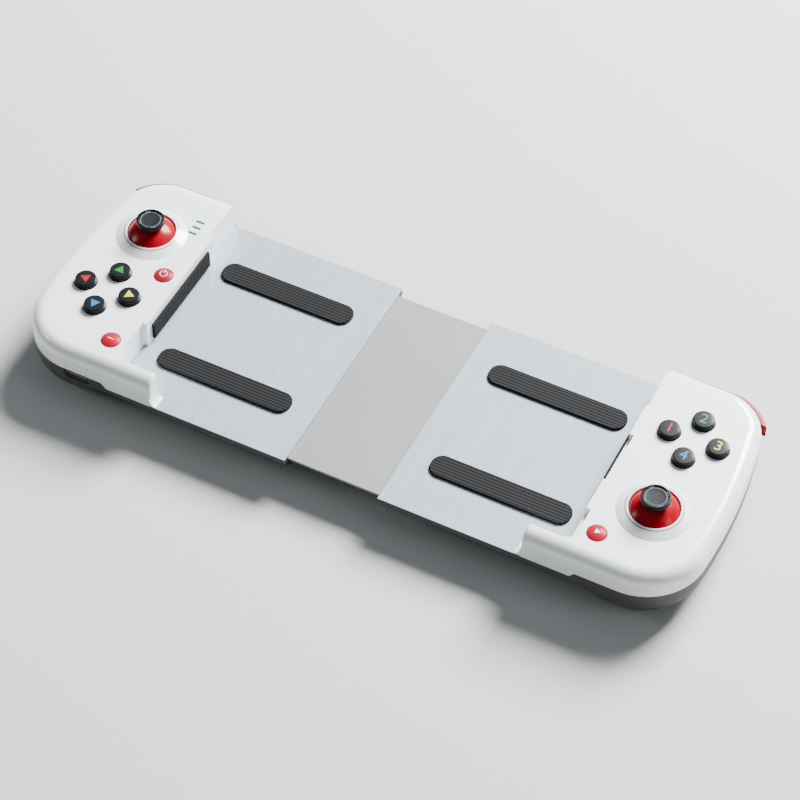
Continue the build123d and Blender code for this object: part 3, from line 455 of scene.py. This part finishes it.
for half in ("left", "right"):
    low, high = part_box(f"{half}_stick_cap")
    place = (low + high) / 2
    radius = (high.x - low.x) / 2
    disc_low = high.z - disc_height
    dish_radius = radius - rim_width
    dish_floor = high.z - dish_depth
    rings = [(neck_radius, low.z), (neck_radius, disc_low), (radius - cap_round, disc_low)]
    rings += rounded(radius - cap_round, disc_low + cap_round, cap_round, (-60, -30, 0))
    rings += [(radius, high.z - cap_round)]
    rings += rounded(radius - cap_round, high.z - cap_round, cap_round, (30, 60, 90))
    rings += [(dish_radius + rim_chamfer, high.z), (dish_radius, high.z - rim_chamfer),
              (dish_radius - rim_chamfer, dish_floor)]
    line_radius = dish_radius * line_share
    rings += [(line_radius + line_foot, dish_floor),
              (line_radius + line_crest, dish_floor + line_height),
              (line_radius - line_crest, dish_floor + line_height),
              (line_radius - line_foot, dish_floor)]
    for share in (0.7, 0.5, 0.3, 0.02):
        rings.append((dish_radius * share, dish_floor - dish_bow * (1 - share ** 2)))
    parts = [turn(place, rings)]
    rib_reach = dish_radius * (1 + line_share) / 2
    for quarter in range(4):
        for step in (-1, 0, 1):
            heading = radians(45 + 90 * quarter + step * rib_spread)
            parts.append(bar((place.x + rib_reach * cos(heading),
                              place.y + rib_reach * sin(heading), dish_floor + rib_lift),
                             rib_size, heading))
    cap = settle(join(parts), f"{half}_thumb_cap", f"{half}_stick", cap_rubber,
                 [f"{half}_stick_cap"])
    cap.data.materials.append(dish_rubber.material)
    cap.data.materials.append(rib_highlight_rubber.material)
    # Dish faces take the painted reflection, and the raised ring line and ribs take the painted
    # highlight.
    for face in cap.data.polygons:
        from_axis = Vector((face.center.x - place.x, face.center.y - place.y)).length
        if from_axis < dish_radius - dish_margin and face.center.z > disc_low + cap_round:
            face.material_index = 2 if face.center.z > dish_floor + raised else 1
    bpy.ops.object.select_all(action="DESELECT")

# Round buttons: glossy black stepped caps, each on a flange and a plunger of the same moulding.
# The top face is painted a little greyer than the sides, as painted reflection of the soft light
# above.
button_black = Finish("button_black", Specular_IOR_Level=0.08, Coat_Weight=0.12,
                      Coat_Roughness=0.05)
swirl = button_black.noise(260, 3)
button_black.varies("Base Color", button_black.between(swirl, (0.0008, 0.0008, 0.0011),
                                                       (0.002, 0.002, 0.0025)))
button_black.varies("Roughness", swirl * 0.15 + 0.2)
button_top_sheen = Finish("button_top_sheen", Specular_IOR_Level=0.1, Coat_Weight=0.1, Coat_Roughness=0.12)
top_sheen_drift = button_top_sheen.noise(340, 4)
button_top_sheen.varies("Base Color", button_top_sheen.between(top_sheen_drift, (0.006, 0.007, 0.008),
                                                       (0.011, 0.0125, 0.014)))
button_top_sheen.varies("Roughness", top_sheen_drift * 0.2 + 0.3)
button_top_sheen.relief(button_top_sheen.noise(1800, 1), 0.00001)
cap_radius = 0.0036
skirt_radius = 0.0038
step_height = 0.0010
flange_thickness = 0.0008
plunger_radius = 0.0016
plunger_length = 0.0006
edge = 0.00028
edge_flatness = 0.8
shoulder_round = 0.00018
shoulder_nick = 0.00006
crown_inset = 0.0007
crown_drop = 0.00003
for name in button_names:
    low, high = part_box(name)
    place = (low + high) / 2
    flange_radius = (high.x - low.x) / 2
    flange_low = low.z + plunger_length
    flange_high = flange_low + flange_thickness
    step = high.z - step_height
    rings = [(plunger_radius, low.z), (plunger_radius, flange_low), (flange_radius, flange_low),
             (flange_radius, flange_high), (skirt_radius, flange_high),
             (skirt_radius, step - shoulder_round),
             (skirt_radius - shoulder_nick, step - shoulder_nick),
             (skirt_radius - shoulder_round, step),
             (cap_radius + shoulder_nick, step), (cap_radius, step + shoulder_nick),
             (cap_radius, high.z - edge)]
    rings += rounded(cap_radius - edge, high.z - edge, edge, (22, 45, 67, 90), edge_flatness)
    rings += [(cap_radius - crown_inset, high.z - crown_drop), (cap_radius * 0.5, high.z),
              (cap_radius * pole_share, high.z)]
    button = turn(place, rings)
    button = settle(button, name + "_cap", name, button_black, [name])
    button.data.materials.append(button_top_sheen.material)
    # Faces of the top take the greyer painted reflection.
    for face in button.data.polygons:
        from_axis = Vector((face.center.x - place.x, face.center.y - place.y)).length
        if from_axis < cap_radius - edge and face.center.z > step:
            face.material_index = 1


# Marks on the round buttons: printed in bright enamel, left triangles and right plain numbers.
# In each cluster the left one is red, the far one green, the right one yellow, the near one blue.
def top_of(button):
    """Middle of the button's top."""
    low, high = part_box(button)
    return Vector(((low.x + high.x) / 2, (low.y + high.y) / 2, high.z))


enamels = []
for shade, deep, bright in (("red", (0.26, 0.003, 0.008), (0.42, 0.010, 0.018)),
                            ("green", (0.004, 0.13, 0.016), (0.012, 0.24, 0.035)),
                            ("yellow", (0.46, 0.38, 0.02), (0.66, 0.57, 0.06)),
                            ("blue", (0.006, 0.09, 0.26), (0.02, 0.17, 0.42))):
    enamel = Finish(f"enamel_{shade}", Specular_IOR_Level=0.2, Coat_Weight=0.15, Coat_Roughness=0.1)
    ink = enamel.noise(900, 3)
    enamel.varies("Base Color", enamel.between(ink, deep, bright))
    enamel.varies("Roughness", ink * 0.2 + 0.3)
    enamels.append(enamel)
print_height = 0.00008
arrow_radius = 0.0021
arrow_rounding = 0.00022
arrow_corners = radians(100)
number_size = 0.0055
points_toward = [180, 90, 0, -90]
for name, enamel, heading in zip(button_names[:4], enamels, points_toward):
    bpy.ops.object.select_all(action="DESELECT")
    bpy.ops.mesh.primitive_cylinder_add(vertices=3, radius=arrow_radius, depth=print_height,
                                        location=top_of(name),
                                        rotation=(0, 0, radians(heading - 90)))
    arrow = bpy.context.object
    rounding = arrow.modifiers.new("rounding", "BEVEL")
    rounding.width = arrow_rounding
    rounding.segments = 3
    rounding.limit_method = "ANGLE"
    rounding.angle_limit = arrow_corners
    settle(arrow, name.replace("button", "arrow"), name, enamel)
for number, (name, enamel) in enumerate(zip(button_names[4:], enamels), 1):
    bpy.ops.object.select_all(action="DESELECT")
    bpy.ops.object.text_add(location=top_of(name))
    figure = bpy.context.object
    figure.data.body = str(number)
    figure.data.size = number_size
    figure.data.align_x = "CENTER"
    figure.data.align_y = "CENTER"
    figure.data.extrude = print_height / 2
    bpy.ops.object.convert(target="MESH")
    settle(bpy.context.object, f"number_{number}", name, enamel)

# Small red buttons: low crowns of cherry plastic, with a white mark printed on top.
# Power has a ring and a stroke, select a bar and start a triangle.
cherry = Finish("button_red", Specular_IOR_Level=0.08, Coat_Weight=0.04, Coat_Roughness=0.1)
cherry_drift = cherry.noise(300, 3)
cherry.varies("Base Color", cherry.between(cherry_drift, (0.27, 0.004, 0.016),
                                           (0.38, 0.010, 0.028)))
cherry.varies("Roughness", cherry.noise(500, 2) * 0.12 + 0.3)
dress(cherry, "power_button", "select_button", "start_button")
white_ink = Finish("white_ink")
ink_wear = white_ink.noise(1200, 3)
white_ink.varies("Base Color", white_ink.between(ink_wear, (0.80, 0.74, 0.74), (0.95, 0.92, 0.92)))
white_ink.varies("Roughness", ink_wear * 0.2 + 0.35)
stroke = 0.00026
mark_sink = 0.0001
ring_radius = 0.00125
ring_gap = 0.15
upright_reach = 0.8
upright_lift = 0.00005
dash_length = 0.0024
dash_share = 1.4
wedge_radius = 0.0012
wedge_rounding = 0.00008
top = top_of("power_button")
centre = Vector((top.x, top.y, top.z - mark_sink))
bpy.ops.object.select_all(action="DESELECT")
bpy.ops.curve.primitive_bezier_circle_add(radius=ring_radius, location=centre,
                                          rotation=(0, 0, -pi / 2))
arc = bpy.context.object
arc.data.bevel_depth = stroke / 2
arc.data.bevel_factor_start = ring_gap
arc.data.bevel_factor_end = 1 - ring_gap
arc.data.use_fill_caps = True
bpy.ops.object.convert(target="MESH")
arc = bpy.context.object
bpy.ops.object.transform_apply(location=True, rotation=True, scale=True)
upright = bar((centre.x, centre.y + ring_radius * upright_reach, centre.z + upright_lift),
              (stroke, ring_radius, stroke))
settle(join([arc, upright]), "power_mark", "power_button", white_ink)
top = top_of("select_button")
dash = bar((top.x, top.y, top.z - stroke / 3), (dash_length, stroke * dash_share, stroke))
settle(dash, "select_mark", "select_button", white_ink)
top = top_of("start_button")
bpy.ops.object.select_all(action="DESELECT")
bpy.ops.mesh.primitive_cylinder_add(vertices=3, radius=wedge_radius, depth=stroke,
                                    location=(top.x, top.y, top.z - stroke / 3),
                                    rotation=(0, 0, radians(-90)))
wedge = bpy.context.object
wedge_edge = wedge.modifiers.new("wedge_edge", "BEVEL")
wedge_edge.width = wedge_rounding
wedge_edge.segments = 2
settle(wedge, "start_mark", "start_button", white_ink)

# Light pipe: three bars of clear green acrylic on one bridge, pressed into the left half's cover.
# They glow from the board below, a little unevenly.
glow = Finish("light_green", Specular_IOR_Level=0.1, Emission_Strength=1.0)
flow = glow.noise(700, 2)
glow.varies("Base Color", glow.between(flow, (0.0, 0.012, 0.0), (0.0, 0.02, 0.001)))
glow.varies("Emission Color", glow.between(flow, (0.0, 0.5, 0.016), (0.004, 0.75, 0.05)))
dress(glow, "led_light_pipe")

# Upper shells: high-gloss white ABS covers, each with its arm and the top plate of its sleeve.
# A hairline parts the lip of each stick opening from the cone. The sleeve is brushed, and its top
# is painted a bluer grey as painted shade.
arm_tip_x = 0.0676
pocket_wall_x = 0.0832
pocket_edge_y = -0.0396
floor_margin = 0.0001
cover = Finish("cover_white", Coat_Weight=0.6, Coat_Roughness=0.06)
warmth = cover.noise(22, 3)
# The slight blue tint of both whites is painted shade: the cool tint of faces turned from the
# light.
cover_colour = cover.between(warmth, (0.80, 0.835, 0.86), (0.86, 0.88, 0.895))
across, along, up = cover.axes()
brushed = cover.noise(900, 3, (1, 0.03, 1))
floor_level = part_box("left_floor_pads")[0].z + floor_margin
outwards = cover.node("ShaderNodeMath", {"operation": "ABSOLUTE"}, {0: across})
low_down = up < floor_level
in_pocket = (outwards > arm_tip_x) * (outwards < pocket_wall_x) * (along > pocket_edge_y)
# The sleeve top, on the arms and in the pockets, gets a bluer grey: painted shade.
sleeve = low_down * (outwards < arm_tip_x) + low_down * in_pocket
sleeve_painted_shade = cover.between(brushed, (0.25, 0.30, 0.34), (0.37, 0.42, 0.46))
cover_colour = cover.between(sleeve, cover_colour, sleeve_painted_shade)
lip_line_radius = 0.0092
lip_line_width = 0.00032
lip_line_low = 0.0252
for half in ("left", "right"):
    low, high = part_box(f"{half}_stick_cap")
    place = (low + high) / 2
    flat_place = cover.node("ShaderNodeCombineXYZ", {}, {0: across, 1: along})
    reach = cover.node("ShaderNodeVectorMath", {"operation": "DISTANCE"},
                       {0: flat_place, 1: (place.x, place.y, 0)}, 1)
    hairline = ((reach > lip_line_radius) * (reach < lip_line_radius + lip_line_width)
                * (up > lip_line_low))
    cover_colour = cover.between(hairline, cover_colour, (0.16, 0.16, 0.17))
cover.varies("Base Color", cover_colour)
cover.varies("Roughness", cover.noise(140, 4) * 0.1 + 0.26 + sleeve * brushed * 0.3)
cover.relief(cover.noise(700, 2), 0.000006)
dress(cover, "left_upper_shell", "right_upper_shell")

# Rubber pads: a soft black pad on each end wall of the pocket, and two dark strips on each sleeve.
# All are finely ribbed, so that they grip, and glued on.
pad_rubber = Finish("pad_rubber", Specular_IOR_Level=0.12)
pad_dust = pad_rubber.noise(300, 4)
pad_rib_pitch = 0.0012
pad_rib_turn = pad_rubber.axes()[1] * (2 * pi / pad_rib_pitch)
pad_ribs = pad_rubber.node("ShaderNodeMath", {"operation": "SINE"}, {0: pad_rib_turn})
pad_rubber.varies("Base Color", pad_rubber.between(pad_dust, (0.006, 0.0062, 0.0068),
                                                   (0.011, 0.0114, 0.0125)))
pad_rubber.varies("Roughness", pad_dust * 0.2 + 0.62)
pad_rubber.relief(pad_ribs, 0.00006)
dress(pad_rubber, "left_clamp_pad", "right_clamp_pad", "left_floor_pads", "right_floor_pads")

# Case screws: four in each half, driven up through the tray into the cover.
# Machined steel under black zinc, a little paler where it is worn.
black_zinc = Finish("screw_black_zinc", Metallic=0.9)
plating = black_zinc.noise(800, 3)
black_zinc.varies("Base Color", black_zinc.between(plating, (0.05, 0.05, 0.055),
                                                   (0.12, 0.12, 0.13)))
black_zinc.varies("Roughness", plating * 0.25 + 0.3)
dress(black_zinc, "left_case_screws", "right_case_screws")

# Trigger springs: five turns of 0.5 mm music wire round the pin of each trigger.
# One leg stands in the tray. The other presses the trigger out; here the coil is attached to no
# body and does not swing with it.
trigger_wire = 0.0005
trigger_turns = 5
trigger_coil_radius = 0.0016
trigger_tube_radius = 0.0019
trigger_leg_rise = 0.0022
for half, side in (("left", -1), ("right", 1)):
    low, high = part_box(f"{half}_trigger_spring")
    middle = (low + high) / 2
    axis_z = high.z - trigger_tube_radius
    coil_length = high.x - low.x - trigger_wire
    wound = [wind_coil((middle.x - coil_length / 2, middle.y, axis_z), trigger_coil_radius,
                       trigger_wire, coil_length, trigger_turns)]
    for way, foot_z in ((-1, low.z), (1, low.z + trigger_leg_rise)):
        wound.append(bar((middle.x + side * way * coil_length / 2,
                          middle.y + way * trigger_coil_radius, (axis_z + foot_z) / 2),
                         (trigger_wire, trigger_wire, axis_z - foot_z)))
    coils = settle(join(wound), f"{half}_trigger_coil", None, spring_steel,
                   [f"{half}_trigger_spring"])
    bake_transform(coils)

# Shoulder buttons: red crescents on top and black triggers below, each on its own pin.
# The crescents are tinted polycarbonate, the triggers satin ABS with a fine grain.
bumper_red = Finish("bumper_red", Specular_IOR_Level=0.15, Coat_Weight=0.15, Coat_Roughness=0.08)
tint = bumper_red.noise(120, 3)
bumper_red.varies("Base Color", bumper_red.between(tint, (0.20, 0.002, 0.003),
                                                   (0.32, 0.008, 0.009)))
bumper_red.varies("Roughness", bumper_red.noise(300, 2) * 0.1 + 0.22)
dress(bumper_red, "left_bumper", "right_bumper")
trigger_black = moulded_plastic("trigger_black", (0.003, 0.003, 0.0035), (0.007, 0.007, 0.008),
                                0.34, 1500, 0.00002, 0.06, 0.2)
dress(trigger_black, "left_trigger", "right_trigger")

# Table and lights: a plain pale sheet under a dim cool sky.
# A broad soft light beyond the far edge is the key, and two weak ones stand left and right.
bpy.ops.mesh.primitive_plane_add(size=8, location=(0, 0, 0))
table = bpy.context.object
table.name = "table"
table_white = Finish("table_white")
table_white.varies("Base Color", table_white.between(table_white.noise(3, 2), (0.52, 0.52, 0.52),
                                                     (0.55, 0.55, 0.55)))
table_white.varies("Roughness", table_white.noise(40, 2) * 0.1 + 0.75)
table.data.materials.append(table_white.material)
sky = bpy.data.worlds.new("studio_sky")
bpy.context.scene.world = sky
sky.use_nodes = True
sky.node_tree.nodes["Background"].inputs["Color"].default_value = (0.80, 0.93, 1.0, 1)
sky.node_tree.nodes["Background"].inputs["Strength"].default_value = 0.17
for name, place, size, power in (("overhead", (0.25, 1.0, 0.85), 0.6, 110),
                                 ("window_left", (-0.9, -0.35, 0.5), 0.3, 2),
                                 ("window_right", (0.9, 0.0, 0.5), 0.35, 1.5)):
    bpy.ops.object.light_add(type="AREA", location=place)
    lamp = bpy.context.object
    lamp.name = name
    lamp.data.size = size
    lamp.data.energy = power
    lamp.rotation_euler = (-Vector(place)).to_track_quat("-Z", "Y").to_euler()

# Camera: where the photograph was taken from, at the right-hand front and 50 degrees up.
# Its place, tilt and lens were fitted to corners in the photograph.
camera_place = (0.2563, -0.5129, 0.6842)
camera_azimuth = radians(26.32)
camera_elevation = radians(49.80)
camera_roll = radians(0.65)
camera_lens = 119.05
film_width = 36
bpy.ops.object.camera_add(location=camera_place)
camera = bpy.context.object
camera.rotation_euler = (Matrix.Rotation(camera_azimuth, 3, "Z")
                         @ Matrix.Rotation(pi / 2 - camera_elevation, 3, "X")
                         @ Matrix.Rotation(camera_roll, 3, "Z")).to_euler()
camera.data.lens = camera_lens
camera.data.sensor_width = film_width
camera.data.clip_start = 0.01
bpy.context.scene.camera = camera
